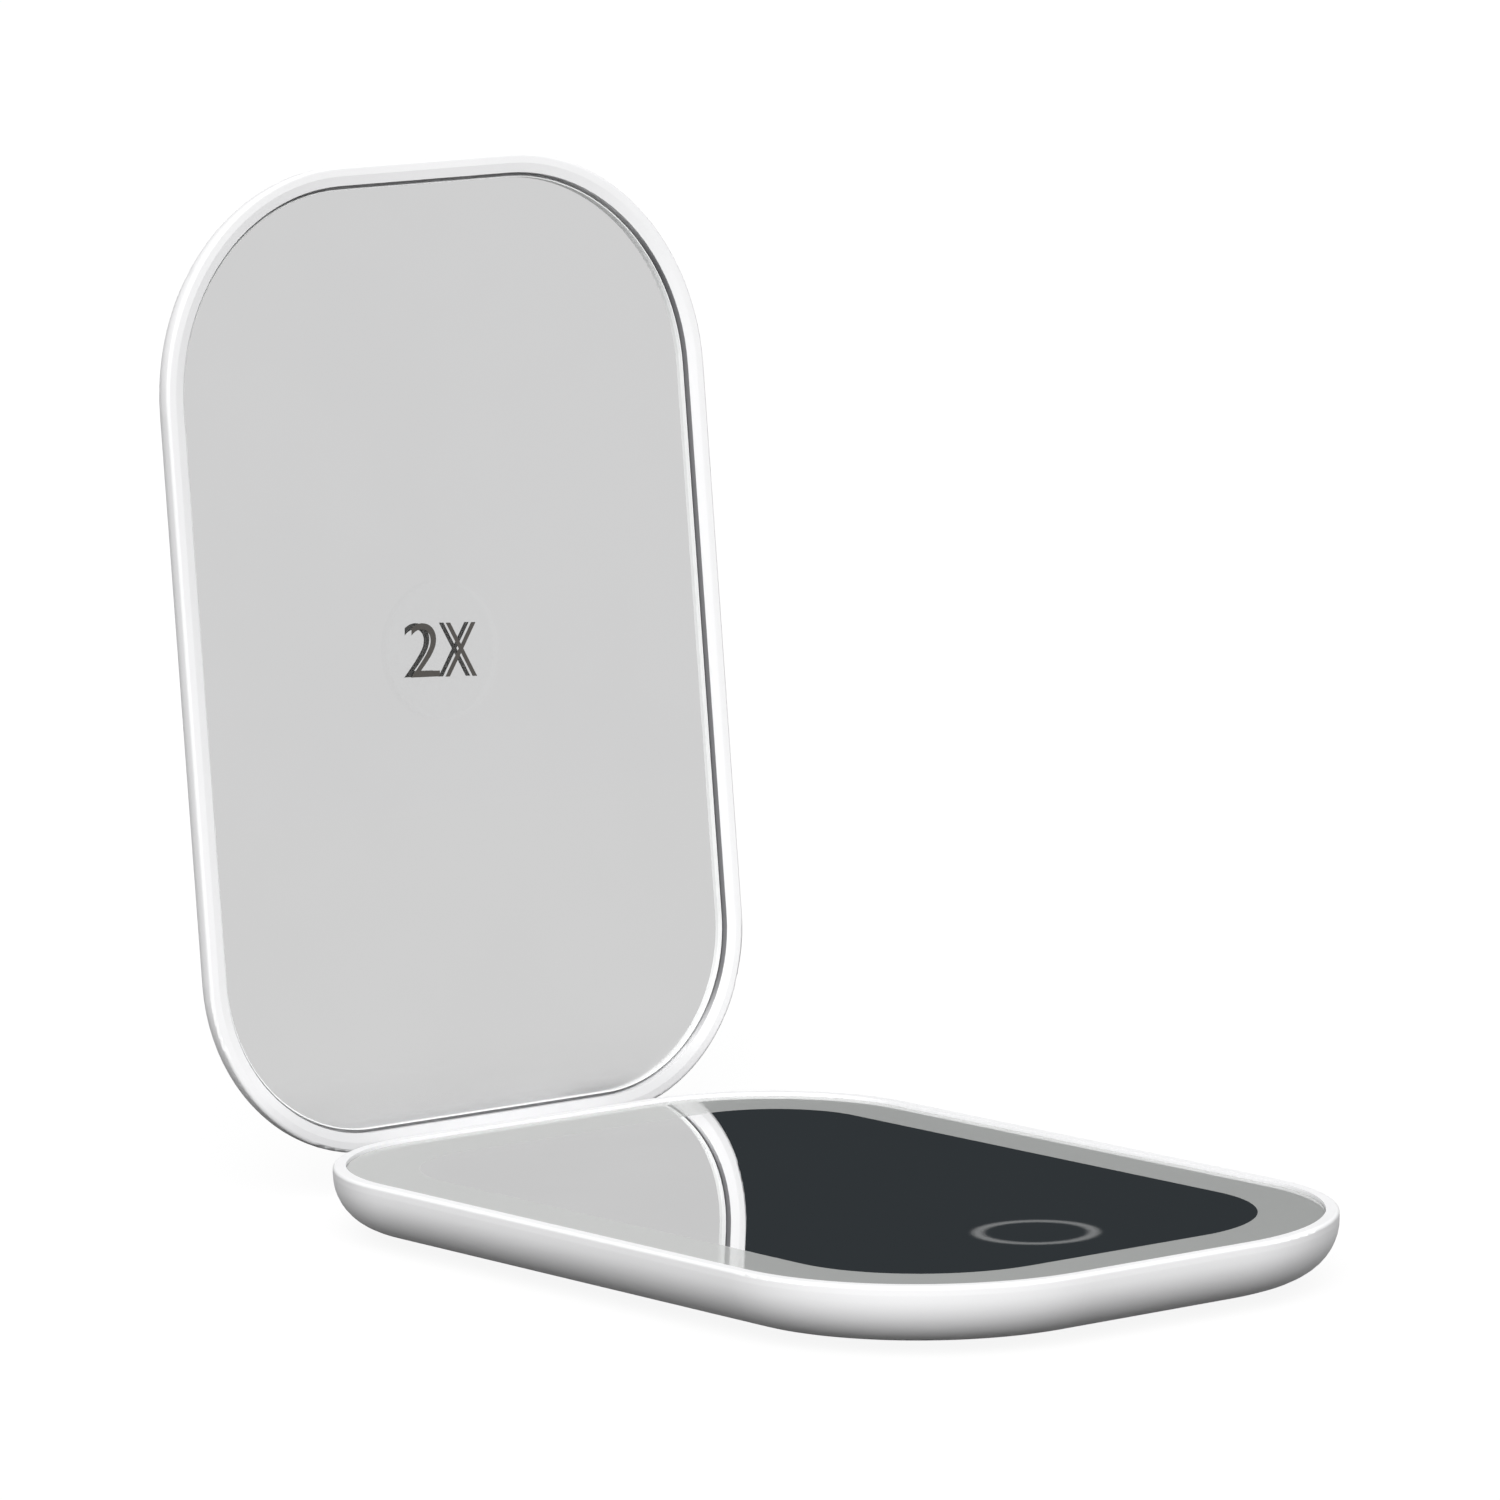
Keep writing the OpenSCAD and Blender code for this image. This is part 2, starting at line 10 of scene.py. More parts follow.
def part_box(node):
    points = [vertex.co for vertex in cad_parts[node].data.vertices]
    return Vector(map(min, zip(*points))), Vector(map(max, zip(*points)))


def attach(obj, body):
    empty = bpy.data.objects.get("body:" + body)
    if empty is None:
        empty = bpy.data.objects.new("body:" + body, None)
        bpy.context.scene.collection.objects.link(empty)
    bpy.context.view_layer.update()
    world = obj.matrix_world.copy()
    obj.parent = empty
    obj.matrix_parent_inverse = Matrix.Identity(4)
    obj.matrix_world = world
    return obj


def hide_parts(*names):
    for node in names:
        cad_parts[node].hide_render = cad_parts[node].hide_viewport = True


bl_info = {
    "name": "Lighted compact mirror",
    "version": (1, 0, 0),
    "blender": (4, 5, 0),
    "location": "3D View > Sidebar > Compact",
    "description": "Finishes a lighted compact mirror and sets up its studio",
    "category": "Object",
}

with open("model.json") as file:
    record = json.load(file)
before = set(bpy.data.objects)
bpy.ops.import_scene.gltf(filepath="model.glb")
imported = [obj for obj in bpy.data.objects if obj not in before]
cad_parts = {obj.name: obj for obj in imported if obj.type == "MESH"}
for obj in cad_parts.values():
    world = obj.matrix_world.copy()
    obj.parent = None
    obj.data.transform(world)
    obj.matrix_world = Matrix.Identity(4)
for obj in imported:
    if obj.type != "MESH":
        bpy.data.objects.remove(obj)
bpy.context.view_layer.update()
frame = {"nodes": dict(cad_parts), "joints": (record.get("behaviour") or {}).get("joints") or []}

MM = 0.001
WHITE = (1.0, 1.0, 1.0, 1.0)

# Lengths under which places along an edge, heights of a face and vertices count as the same
TOUCHING = MM / 100
LEVEL_WITHIN = MM / 1000
WELD = MM / 10000

# Angle from which an edge between two faces is drawn sharp
SHARP_ANGLE = math.radians(30)

# Gap round the lid glass, whose wall gets painted shade
GLASS_GAP = 0.35 * MM

HINGE = frame["joints"][0]
HINGE_POINT = Vector(HINGE["pos_m"])
OPEN_ANGLE = math.radians(-HINGE["range_deg"][0])

shell_low, shell_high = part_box("base_shell")
glass_low, glass_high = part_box("base_mirror")
pad_low, pad_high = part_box("touch_pad")
RIM = glass_low.x - shell_low.x
LEAF_WIDTH = shell_high.x - shell_low.x
FRONT_Y = shell_low.y
REAR_Y = glass_high.y + RIM
MIDDLE_Y = (FRONT_Y + REAR_Y) / 2
LEAF_LENGTH = REAR_Y - FRONT_Y
GLASS_TOP = glass_high.z
TOUCH_Y = (pad_low.y + pad_high.y) / 2


def closed_box(node):
    """Corners of a lid node's box when the lid is shut, so that its sizes read straight off."""
    turn = Matrix.Translation(HINGE_POINT) @ Matrix.Rotation(OPEN_ANGLE, 4, "X")
    turn = turn @ Matrix.Translation(-HINGE_POINT)
    points = [turn @ vertex.co for vertex in frame["nodes"][node].data.vertices]
    low = Vector(min(point[axis] for point in points) for axis in range(3))
    high = Vector(max(point[axis] for point in points) for axis in range(3))
    return low, high


lid_glass_low, lid_glass_high = closed_box("lid_mirror")
sticker_low, sticker_high = closed_box("power_sticker")
bezel_low = closed_box("lid_bezel")[0]

# Distances from the leaf's outline to the lid glass and to the bezel's inner wall, a gap further out
LID_GLASS_IN = lid_glass_low.x + LEAF_WIDTH / 2
BEZEL_WALL_IN = LID_GLASS_IN - GLASS_GAP

# Distances from the hinge end at which the lid silver's haze and the bezel's painted shade start and are
# full
HINGE_HAZE_AND_SHADE_START = 9 * MM
HINGE_HAZE_AND_SHADE_FULL = 2 * MM


# Settings

class CompactShellSettings(bpy.types.PropertyGroup):
    """Colours of the moulded shells."""

    shell_colour: bpy.props.FloatVectorProperty(
        name="Shell", description="Plastic of the two shells", subtype="COLOR",
        default=(0.93, 0.93, 0.94), min=0, max=1)
    bezel_colour: bpy.props.FloatVectorProperty(
        name="Bezel", description="Plastic of the bezel round the lid mirror", subtype="COLOR",
        default=(0.92, 0.92, 0.93), min=0, max=1)
    gloss_roughness: bpy.props.FloatProperty(
        name="Roughness", description="Roughness of the moulded surface", default=0.4, min=0, max=1)


class CompactGlassSettings(bpy.types.PropertyGroup):
    """Sizes and colours of the two mirrors."""

    hinge_corner: bpy.props.FloatProperty(
        name="Hinge end corner", description="Corner radius of the leaf at the hinge end",
        default=19.5 * MM, unit="LENGTH")
    free_corner: bpy.props.FloatProperty(
        name="Free end corner", description="Corner radius of the leaf at the free end",
        default=24 * MM, unit="LENGTH")
    light_band: bpy.props.FloatProperty(
        name="Light band", description="Distance from the leaf's edge to the silvered zone",
        default=8.1 * MM, unit="LENGTH")
    rear_band: bpy.props.FloatProperty(
        name="Rear light band", description="Distance from the hinge end to the silvered zone",
        default=9.5 * MM, unit="LENGTH")
    ring_radius: bpy.props.FloatProperty(
        name="Touch ring", description="Radius of the touch ring", default=5.7 * MM, unit="LENGTH")
    ring_line: bpy.props.FloatProperty(
        name="Touch ring line", description="Width of the touch ring's line",
        default=1.5 * MM, unit="LENGTH")
    silver_depth: bpy.props.FloatProperty(
        name="Silver depth", description="How deep the lid's silver seems to lie below the glass",
        default=0.48 * MM, unit="LENGTH")
    silver_colour: bpy.props.FloatVectorProperty(
        name="Silver", description="Reflection of the silver through the glass", subtype="COLOR",
        default=(0.885, 0.885, 0.885), min=0, max=1)
    frost_colour: bpy.props.FloatVectorProperty(
        name="Frost", description="Frosted light band, switched off", subtype="COLOR",
        default=(0.56, 0.57, 0.56), min=0, max=1)


class CompactMarkSettings(bpy.types.PropertyGroup):
    """The magnification mark on the lid mirror."""

    words: bpy.props.StringProperty(
        name="Mark", description="Magnification of the lid mirror", default="2X")
    width: bpy.props.FloatProperty(
        name="Width", description="Width of the mark", default=8.6 * MM, unit="LENGTH")
    height: bpy.props.FloatProperty(
        name="Height", description="Height of the mark", default=5.65 * MM, unit="LENGTH")
    letter_share: bpy.props.FloatVectorProperty(
        name="Letter widths", description="Width of each letter as a share of the mark's", size=2,
        default=(0.436, 0.482), min=0, max=1)
    turn: bpy.props.FloatProperty(
        name="Turn", description="Turn of the mark on its sticker, clockwise as read",
        default=math.radians(4.2), subtype="ANGLE")
    thinning: bpy.props.FloatProperty(
        name="Thinning", description="How far the strokes are drawn in, as a share of the size",
        default=0.01, min=-0.04, max=0.04)
    ink_colour: bpy.props.FloatVectorProperty(
        name="Ink", description="Ink of the mark", subtype="COLOR",
        default=(0.06, 0.055, 0.05), min=0, max=1)


class CompactStudioSettings(bpy.types.PropertyGroup):
    """Camera and light."""

    azimuth: bpy.props.FloatProperty(
        name="Azimuth", description="Camera's turn round the object", default=math.radians(-38.567),
        subtype="ANGLE")
    elevation: bpy.props.FloatProperty(
        name="Elevation", description="Camera's height above the table", default=math.radians(8.302),
        subtype="ANGLE")
    roll: bpy.props.FloatProperty(
        name="Roll", description="Camera's roll", default=math.radians(0.759), subtype="ANGLE")
    distance: bpy.props.FloatProperty(
        name="Distance", description="Distance from the camera to the aim",
        default=1.012075, unit="LENGTH")
    shift_right: bpy.props.FloatProperty(
        name="Shift right", description="How far right of the hinge end the camera aims",
        default=17.19 * MM, unit="LENGTH")
    shift_up: bpy.props.FloatProperty(
        name="Shift up", description="How far above the hinge end the camera aims",
        default=19.99 * MM, unit="LENGTH")
    lens: bpy.props.FloatProperty(
        name="Lens", description="Focal length on a 36 mm sensor",
        default=234.63, unit="CAMERA")
    daylight: bpy.props.FloatProperty(
        name="Fill", description="Strength of the light from all round", default=0.5, min=0)
    sun_strength: bpy.props.FloatProperty(
        name="Sun", description="Strength of the soft main light", default=2.97, min=0)
    softbox_power: bpy.props.FloatProperty(
        name="Softbox", description="Power of the softbox that draws the highlights",
        default=0.5, min=0)


# Shader maths

class Signal:
    """A shader socket that is added, multiplied and compared like a number."""

    def __init__(self, finish, socket):
        self.finish = finish
        self.socket = socket

    def _math(self, operation, left, right):
        return self.finish.add("ShaderNodeMath", {"operation": operation}, {0: left, 1: right})

    def __add__(self, other):
        return self._math("ADD", self, other)

    def __radd__(self, other):
        return self._math("ADD", other, self)

    def __sub__(self, other):
        return self._math("SUBTRACT", self, other)

    def __rsub__(self, other):
        return self._math("SUBTRACT", other, self)

    def __mul__(self, other):
        return self._math("MULTIPLY", self, other)

    def __rmul__(self, other):
        return self._math("MULTIPLY", other, self)

    def __abs__(self):
        return self.finish.add("ShaderNodeMath", {"operation": "ABSOLUTE"}, {0: self})

    def at_least(self, other):
        return self._math("MAXIMUM", self, other)

    def at_most(self, other):
        return self._math("MINIMUM", self, other)

    def root(self):
        return self.finish.add("ShaderNodeMath", {"operation": "SQRT"}, {0: self})

    def rise(self, start, end):
        """0 below start, 1 above end, with a smooth step between."""
        return self.finish.add("ShaderNodeMapRange", {"interpolation_type": "SMOOTHSTEP"},
                               {"Value": self, "From Min": start, "From Max": end})


class Finish:
    """A node tree being written: a material's or the world's."""

    def __init__(self, owner):
        owner.use_nodes = True
        self.owner = owner
        self.tree = owner.node_tree
        self.tree.nodes.clear()

    def add(self, kind, settings=None, values=None, output=0):
        """Adds a node, sets its settings and then its sockets, and gives back one of its outputs."""
        node = self.tree.nodes.new(kind)
        for name, value in (settings or {}).items():
            setattr(node, name, value)
        for name, value in (values or {}).items():
            if isinstance(value, Signal):
                self.tree.links.new(value.socket, node.inputs[name])
            else:
                node.inputs[name].default_value = value
        return Signal(self, node.outputs[output]) if len(node.outputs) else None

    def place(self, on_lid=False):
        """The surface point in the object's own metres, on the lid as if the lid were shut."""
        point = self.add("ShaderNodeTexCoord", output="Object")
        if on_lid:
            moved = HINGE_POINT - Matrix.Rotation(OPEN_ANGLE, 3, "X") @ HINGE_POINT
            point = self.add("ShaderNodeMapping", values={
                "Vector": point, "Rotation": (OPEN_ANGLE, 0, 0), "Location": moved})
        return point

    def split(self, vector):
        return [self.add("ShaderNodeSeparateXYZ", values={"Vector": vector}, output=axis) for axis in "XYZ"]

    def noise(self, point, scale, detail=2.0):
        return self.add("ShaderNodeTexNoise", values={
            "Vector": point, "Scale": scale, "Detail": detail, "Roughness": 0.5})

    def mix(self, share, first, second):
        """A colour between two colours."""
        return self.add("ShaderNodeMix", {"data_type": "RGBA"}, {0: share, 6: first, 7: second}, output=2)

    def inset(self, x, y, glass, rear_more=0.0):
        """Distance inwards from the leaf's outline, as it runs with a rounded corner at each end."""
        at_hinge = (y - MIDDLE_Y).rise(-MM, MM)
        radius = glass.free_corner + at_hinge * (glass.hinge_corner - glass.free_corner)
        past_x = abs(x) - LEAF_WIDTH / 2 + radius
        past_y = abs(y - MIDDLE_Y) - LEAF_LENGTH / 2 + at_hinge * rear_more + radius
        out_x = past_x.at_least(0.0)
        out_y = past_y.at_least(0.0)
        return radius - (out_x * out_x + out_y * out_y).root() - past_x.at_least(past_y).at_most(0.0)

    def bump(self, height, depth):
        return self.add("ShaderNodeBump", values={
            "Height": height, "Distance": depth, "Strength": 1.0})

    def surface(self, **values):
        """The shader itself, wired to the output. Values are named for its sockets."""
        named = {name.replace("_", " "): value for name, value in values.items()}
        shader = self.add("ShaderNodeBsdfPrincipled", values=named, output="BSDF")
        self.add("ShaderNodeOutputMaterial", values={"Surface": shader})
        return self.owner


def rgba(colour):
    return (*colour[:3], 1.0)


def new_finish(name):
    return Finish(bpy.data.materials.new(name))


def moulded(name, colour, roughness, on_lid=False, grain=0.004 * MM, shade=None, dark=WHITE):
    """Moulded plastic: slight clouding, a fine grain, and a dark colour painted as shade where the shade
    mask asks for it.
    """
    finish = new_finish(name)
    point = finish.place(on_lid)
    cloud = finish.noise(point, 35.0, detail=3.0)
    grain_noise = finish.noise(point, 2600.0, detail=2.0)
    darker = [0.975 * part for part in colour[:3]]
    clouded = finish.mix(cloud.rise(0.3, 0.7), rgba(darker), rgba(colour))
    # Painted shade: the dark colour, mixed in where the shade mask asks for it
    if shade:
        clouded = finish.mix(shade(finish, point), clouded, dark)
    return finish.surface(
        Base_Color=clouded,
        Roughness=roughness + 0.08 * (cloud - 0.5),
        IOR=1.5,
        Specular_IOR_Level=0.015,
        Normal=finish.bump(grain_noise, grain))


def metal(name, colour, roughness, stretch=(1.0, 1.0, 1.0), scale=2500.0):
    """Plated or ground metal with fine lines along its length."""
    finish = new_finish(name)
    point = finish.add("ShaderNodeMapping", values={"Vector": finish.place(), "Scale": stretch})
    lines = finish.noise(point, scale, detail=3.0)
    darker = [0.85 * part for part in colour[:3]]
    return finish.surface(
        Base_Color=finish.mix(lines, rgba(darker), rgba(colour)),
        Metallic=1.0,
        Roughness=roughness + 0.12 * (lines - 0.5),
        Normal=finish.bump(lines, 0.003 * MM))


def film(name, colour, roughness, cloud_scale=120.0, variation=0.12):
    """Thin sheet or small moulded part that lies inside the leaves."""
    finish = new_finish(name)
    cloud = finish.noise(finish.place(), cloud_scale, detail=4.0)
    darker = [(1 - variation) * part for part in colour[:3]]
    return finish.surface(
        Base_Color=finish.mix(cloud, rgba(darker), rgba(colour)),
        Roughness=roughness + 0.1 * (cloud - 0.5),
        Normal=finish.bump(cloud, 0.01 * MM))


def wear(node, material):
    """Gives a CAD node one material."""
    slots = frame["nodes"][node].data.materials
    slots.clear()
    slots.append(material)


# Mesh helpers

def new_piece(name, mesh, body, material):
    """Puts a finished mesh in the scene as a piece that rides on a body."""
    mesh.name = name
    mesh.materials.clear()
    mesh.materials.append(material)
    piece = bpy.data.objects.new(name, mesh)
    bpy.context.scene.collection.objects.link(piece)
    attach(piece, body)
    return piece


def shut_to_rest():
    """Turn that carries a shape drawn on the shut lid to where the open lid is."""
    turn = Matrix.Rotation(-OPEN_ANGLE, 4, "X")
    return Matrix.Translation(HINGE_POINT) @ turn @ Matrix.Translation(-HINGE_POINT)


def leaf_plate(low, high, inset, glass):
    """Plate with the leaf's rounded corners between two heights, as a bmesh."""
    shape = bmesh.new()
    size = high - low
    centre = (low + high) / 2
    bmesh.ops.create_cube(shape, size=1.0)
    bmesh.ops.scale(shape, vec=size, verts=shape.verts)
    bmesh.ops.translate(shape, vec=centre, verts=shape.verts)
    for sign, radius in ((1, glass.hinge_corner - inset), (-1, glass.free_corner - inset)):
        upright = [edge for edge in shape.edges
                   if abs(edge.verts[0].co.z - edge.verts[1].co.z) > size.z / 2
                   and sign * (edge.verts[0].co.y - centre.y) > size.y * 0.4
                   and abs(abs(edge.verts[0].co.x - centre.x) - size.x / 2) < TOUCHING]
        bmesh.ops.bevel(shape, geom=upright, offset=radius, offset_type="OFFSET", segments=32,
                        profile=0.5, affect="EDGES", material=-1, clamp_overlap=False)
    return shape


def flat_faces(shape, level):
    return [face for face in shape.faces
            if all(abs(vertex.co.z - level) < LEVEL_WITHIN for vertex in face.verts)]


def finish_mesh(shape, turn):
    """Turns a bmesh into a mesh in its place at rest, with normals outwards and flat faces sharp."""
    bmesh.ops.remove_doubles(shape, verts=shape.verts, dist=WELD)
    bmesh.ops.recalc_face_normals(shape, faces=shape.faces)
    for edge in shape.edges:
        edge.smooth = len(edge.link_faces) == 2 and edge.calc_face_angle(0.0) < SHARP_ANGLE
    for face in shape.faces:
        face.smooth = True
    bmesh.ops.transform(shape, matrix=turn, verts=shape.verts)
    mesh = bpy.data.meshes.new("piece")
    shape.to_mesh(mesh)
    shape.free()
    return mesh


# Operators

class COMPACT_OT_shells(bpy.types.Operator):
    """Gives the two shells, the bezel and the inner frame their moulded plastics, with painted shade on the
    bezel
    """

    bl_idname = "compact.shells"
    bl_label = "Shells and bezel"

    # Painted shade on the bezel: its dark colour, how far below the face it starts in the gap round the
    # glass, where it fades out towards the ends, and its share on the strip by the hinge
    painted_shade_colour = (0.24, 0.24, 0.25, 1.0)
    gap_shade_depth = 0.22 * MM
    gap_shade_fade_start = 14 * MM
    gap_shade_fade_end = 3 * MM
    hinge_painted_shade = 0.26

    def execute(self, context):
        shell = context.scene.compact_shell
        white = moulded("shell_white", shell.shell_colour, shell.gloss_roughness)
        wear("base_shell", white)
        wear("lid_shell", white)
        # The bezel carries painted shade in the gap round its glass and by the hinge
        wear("lid_bezel", moulded("bezel_white", shell.bezel_colour, shell.gloss_roughness,
                                  on_lid=True, shade=self.bezel_shade, dark=self.painted_shade_colour))
        wear("light_frame", moulded("frame_white", (0.8, 0.8, 0.78), 0.5, grain=0.01 * MM))
        return {"FINISHED"}

    def bezel_shade(self, finish, point):
        """Share of the dark: painted shade on the wall of the gap along the glass, and a strip of painted
        shade by the hinge.
        """
        x, y, z = finish.split(point)
        inset = finish.inset(x, y, bpy.context.scene.compact_glass)
        on_wall = inset.rise(BEZEL_WALL_IN - 0.08 * MM, BEZEL_WALL_IN - 0.03 * MM)
        gap_shade_face = bezel_low.z + self.gap_shade_depth
        below_face = z.rise(gap_shade_face, gap_shade_face + 0.1 * MM)
        at_ends = abs(y - MIDDLE_Y).rise(LEAF_LENGTH / 2 - self.gap_shade_fade_start,
                                         LEAF_LENGTH / 2 - self.gap_shade_fade_end)
        # Painted shade on the wall of the gap round the glass, none at the ends
        gap_shade = on_wall * below_face * (1.0 - at_ends)
        # Painted shade on the bezel's strip by the hinge
        at_hinge = y.rise(REAR_Y - HINGE_HAZE_AND_SHADE_START, REAR_Y - HINGE_HAZE_AND_SHADE_FULL)
        return gap_shade.at_least(self.hinge_painted_shade * at_hinge)


class COMPACT_OT_base_glass(bpy.types.Operator):
    """Finishes the base glass: silvered middle, frosted light band and etched touch ring"""

    bl_idname = "compact.base_glass"
    bl_label = "Base glass"

    frost_softness = (0.1 * MM, 0.06 * MM)
    etch_share = 0.3
    etch_colour = (0.62, 0.65, 0.66, 1.0)
    etch_fade = 0.7

    def execute(self, context):
        glass = context.scene.compact_glass
        finish = new_finish("base_glass")
        point = finish.place()
        x, y, z = finish.split(point)
        inset = finish.inset(x, y, glass, rear_more=glass.rear_band - glass.light_band)
        soft_out, soft_in = self.frost_softness
        frosted = 1.0 - inset.rise(glass.light_band - soft_out, glass.light_band + soft_in)
        up_y = y - TOUCH_Y
        off_ring = abs((x * x + up_y * up_y).root() - glass.ring_radius)
        etched = 1.0 - off_ring.rise(0.0, glass.ring_line * self.etch_fade)
        on_top = z.rise(GLASS_TOP - 0.1 * MM, GLASS_TOP - 0.05 * MM)
        frosted_or_edge = 1.0 - (1.0 - frosted) * on_top
        dust = finish.noise(point, 60.0, detail=4.0)
        fog = finish.noise(point, 900.0, detail=2.0)
        plain_silver = [0.985 * part for part in glass.silver_colour]
        silver = finish.mix(dust.rise(0.35, 0.65), rgba(plain_silver), rgba(glass.silver_colour))
        plain_frost = [0.97 * part for part in glass.frost_colour]
        frost = finish.mix(fog, rgba(plain_frost), rgba(glass.frost_colour))
        etch = etched * self.etch_share
        dull = frosted_or_edge.at_least(etch)
        colour = finish.mix(etch, finish.mix(frosted_or_edge, silver, frost), self.etch_colour)
        finish.surface(
            Base_Color=colour,
            Metallic=1.0 - dull,
            Roughness=0.015 + dull * 0.5,
            IOR=1.5,
            Coat_Weight=frosted_or_edge,
            Coat_Roughness=0.03)
        wear("base_mirror", finish.owner)
        return {"FINISHED"}


class COMPACT_OT_lid_glass(bpy.types.Operator):
    """Replaces the lid's plain glass with its silver, set back from the front, and its ground edge"""

    bl_idname = "compact.lid_glass"
    bl_label = "Lid glass"

    edge_wall = 0.12 * MM
    hinge_haze = 0.25

    def execute(self, context):
        glass = context.scene.compact_glass
        front = lid_glass_low.z
        silver_top = front + glass.silver_depth
        turn = shut_to_rest()

        silver = leaf_plate(Vector((lid_glass_low.x, lid_glass_low.y, silver_top)),
                            lid_glass_high, LID_GLASS_IN, glass)
        finish = new_finish("lid_silver")
        point = finish.place(on_lid=True)
        dust = finish.noise(point, 60.0, detail=4.0)
        y = finish.split(point)[1]
        at_hinge = y.rise(lid_glass_high.y - HINGE_HAZE_AND_SHADE_START, lid_glass_high.y - HINGE_HAZE_AND_SHADE_FULL)
        plain = [0.99 * part for part in glass.silver_colour]
        finish.surface(
            Base_Color=finish.mix(dust.rise(0.35, 0.65), rgba(plain), rgba(glass.silver_colour)),
            Metallic=1.0,
            Roughness=0.012 + 0.01 * dust + self.hinge_haze * at_hinge)
        sheet = new_piece("lid_silver", finish_mesh(silver, turn), "lid", finish.owner)

        rim = leaf_plate(lid_glass_low, Vector((lid_glass_high.x, lid_glass_high.y, silver_top)),
                         LID_GLASS_IN, glass)
        ends = flat_faces(rim, front) + flat_faces(rim, silver_top)
        bmesh.ops.inset_region(rim, faces=ends, thickness=self.edge_wall, use_even_offset=True)
        inner = [edge for face in ends for edge in face.edges]
        bmesh.ops.delete(rim, geom=ends, context="FACES_ONLY")
        bmesh.ops.bridge_loops(rim, edges=inner)
        edge_finish = new_finish("ground_edge")
        grind = edge_finish.noise(edge_finish.place(on_lid=True), 1500.0, detail=3.0)
        edge_finish.surface(
            Base_Color=edge_finish.mix(grind, (0.93, 0.94, 0.94, 1.0), (0.97, 0.98, 0.98, 1.0)),
            Roughness=0.35 + 0.2 * grind,
            Normal=edge_finish.bump(grind, 0.01 * MM))
        ring = new_piece("lid_glass_edge", finish_mesh(rim, turn), "lid",
                         edge_finish.owner)
        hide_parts("lid_mirror")
        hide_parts("lid_mirror")
        return {"FINISHED"}


class COMPACT_OT_power_mark(bpy.types.Operator):
    """Prints the magnification on the clear sticker in the middle of the lid mirror"""

    bl_idname = "compact.power_mark"
    bl_label = "Magnification mark"

    ink_lift = 0.01 * MM
    ink_thickness = 0.02 * MM
    film_alpha = 0.012

    def execute(self, context):
        mark = context.scene.compact_mark
        shape = bmesh.new()
        for letter, share, side in zip(mark.words, mark.letter_share, (-1, 1)):
            self.write(shape, letter, mark, share, side)
        bmesh.ops.rotate(shape, cent=(0, 0, 0), matrix=Matrix.Rotation(mark.turn, 3, "Z"),
                         verts=shape.verts)
        printed = (sticker_low + sticker_high) / 2
        printed.z = sticker_low.z - self.ink_lift
        bmesh.ops.translate(shape, vec=printed, verts=shape.verts)
        bmesh.ops.triangulate(shape, faces=shape.faces)
        walls = bmesh.ops.extrude_face_region(shape, geom=shape.faces[:])
        raised = [item for item in walls["geom"] if isinstance(item, bmesh.types.BMVert)]
        bmesh.ops.translate(shape, vec=(0, 0, -self.ink_thickness), verts=raised)

        ink = new_finish("mark_ink")
        speckle = ink.noise(ink.place(), 4000.0)
        worn_ink = [1.4 * part for part in mark.ink_colour]
        ink.surface(
            Base_Color=ink.mix(speckle, rgba(mark.ink_colour), rgba(worn_ink)),
            Roughness=0.45 + 0.1 * speckle)
        new_piece("power_mark", finish_mesh(shape, shut_to_rest()), "lid", ink.owner)

        clear = new_finish("clear_film")
        haze = clear.noise(clear.place(on_lid=True), 700.0)
        clear.surface(
            Base_Color=(0.9, 0.93, 0.94, 1.0),
            Roughness=0.12 + 0.1 * haze,
            Alpha=self.film_alpha + self.film_alpha * haze)
        wear("power_sticker", clear.owner)
        return {"FINISHED"}

    @staticmethod
    def write(shape, letter, mark, share, side):
        """Adds one letter's flat outline at the mark's left (-1) or right (1) end, as read from above."""
        letters = bpy.data.curves.new("power_mark_letter", "FONT")
        letters.body = letter
        letters.offset = -mark.thinning
        letters.resolution_u = 8
        carrier = bpy.data.objects.new("power_mark_letter", letters)
        bpy.context.scene.collection.objects.link(carrier)
        bpy.context.view_layer.update()
        finished = carrier.evaluated_get(bpy.context.evaluated_depsgraph_get())
        plain = bpy.data.meshes.new_from_object(finished)
        bpy.data.objects.remove(carrier)
        low = Vector(min(vertex.co[axis] for vertex in plain.vertices) for axis in range(3))
        high = Vector(max(vertex.co[axis] for vertex in plain.vertices) for axis in range(3))
        middle = (low + high) / 2
        stretch_x = mark.width * share / (high.x - low.x)
        stretch_y = -mark.height / (high.y - low.y)
        shift = side * mark.width * (1 - share) / 2
        for vertex in plain.vertices:
            vertex.co = ((vertex.co.x - middle.x) * stretch_x + shift,
                         (vertex.co.y - middle.y) * stretch_y, 0.0)
        shape.from_mesh(plain)
        bpy.data.meshes.remove(plain)


class COMPACT_OT_light_parts(bpy.types.Operator):
    """Finishes the light guide, its sheet, the LED strip and the adhesives"""

    bl_idname = "compact.light_parts"
    bl_label = "Light parts"

    def execute(self, context):
        wear("light_guide", film("guide_acrylic", (0.82, 0.87, 0.88), 0.12, variation=0.03))
        wear("reflector_sheet", film("reflector_film", (0.9, 0.9, 0.9), 0.6, variation=0.02))
        wear("led_strip", film("strip_polyimide", (0.55, 0.28, 0.06), 0.4))
        wear("leds", film("led_phosphor", (0.85, 0.75, 0.3), 0.3))
        black = film("black_adhesive", (0.02, 0.02, 0.02), 0.7, variation=0.3)
        wear("glass_tape", black)
        wear("lid_tape", black)
        return {"FINISHED"}


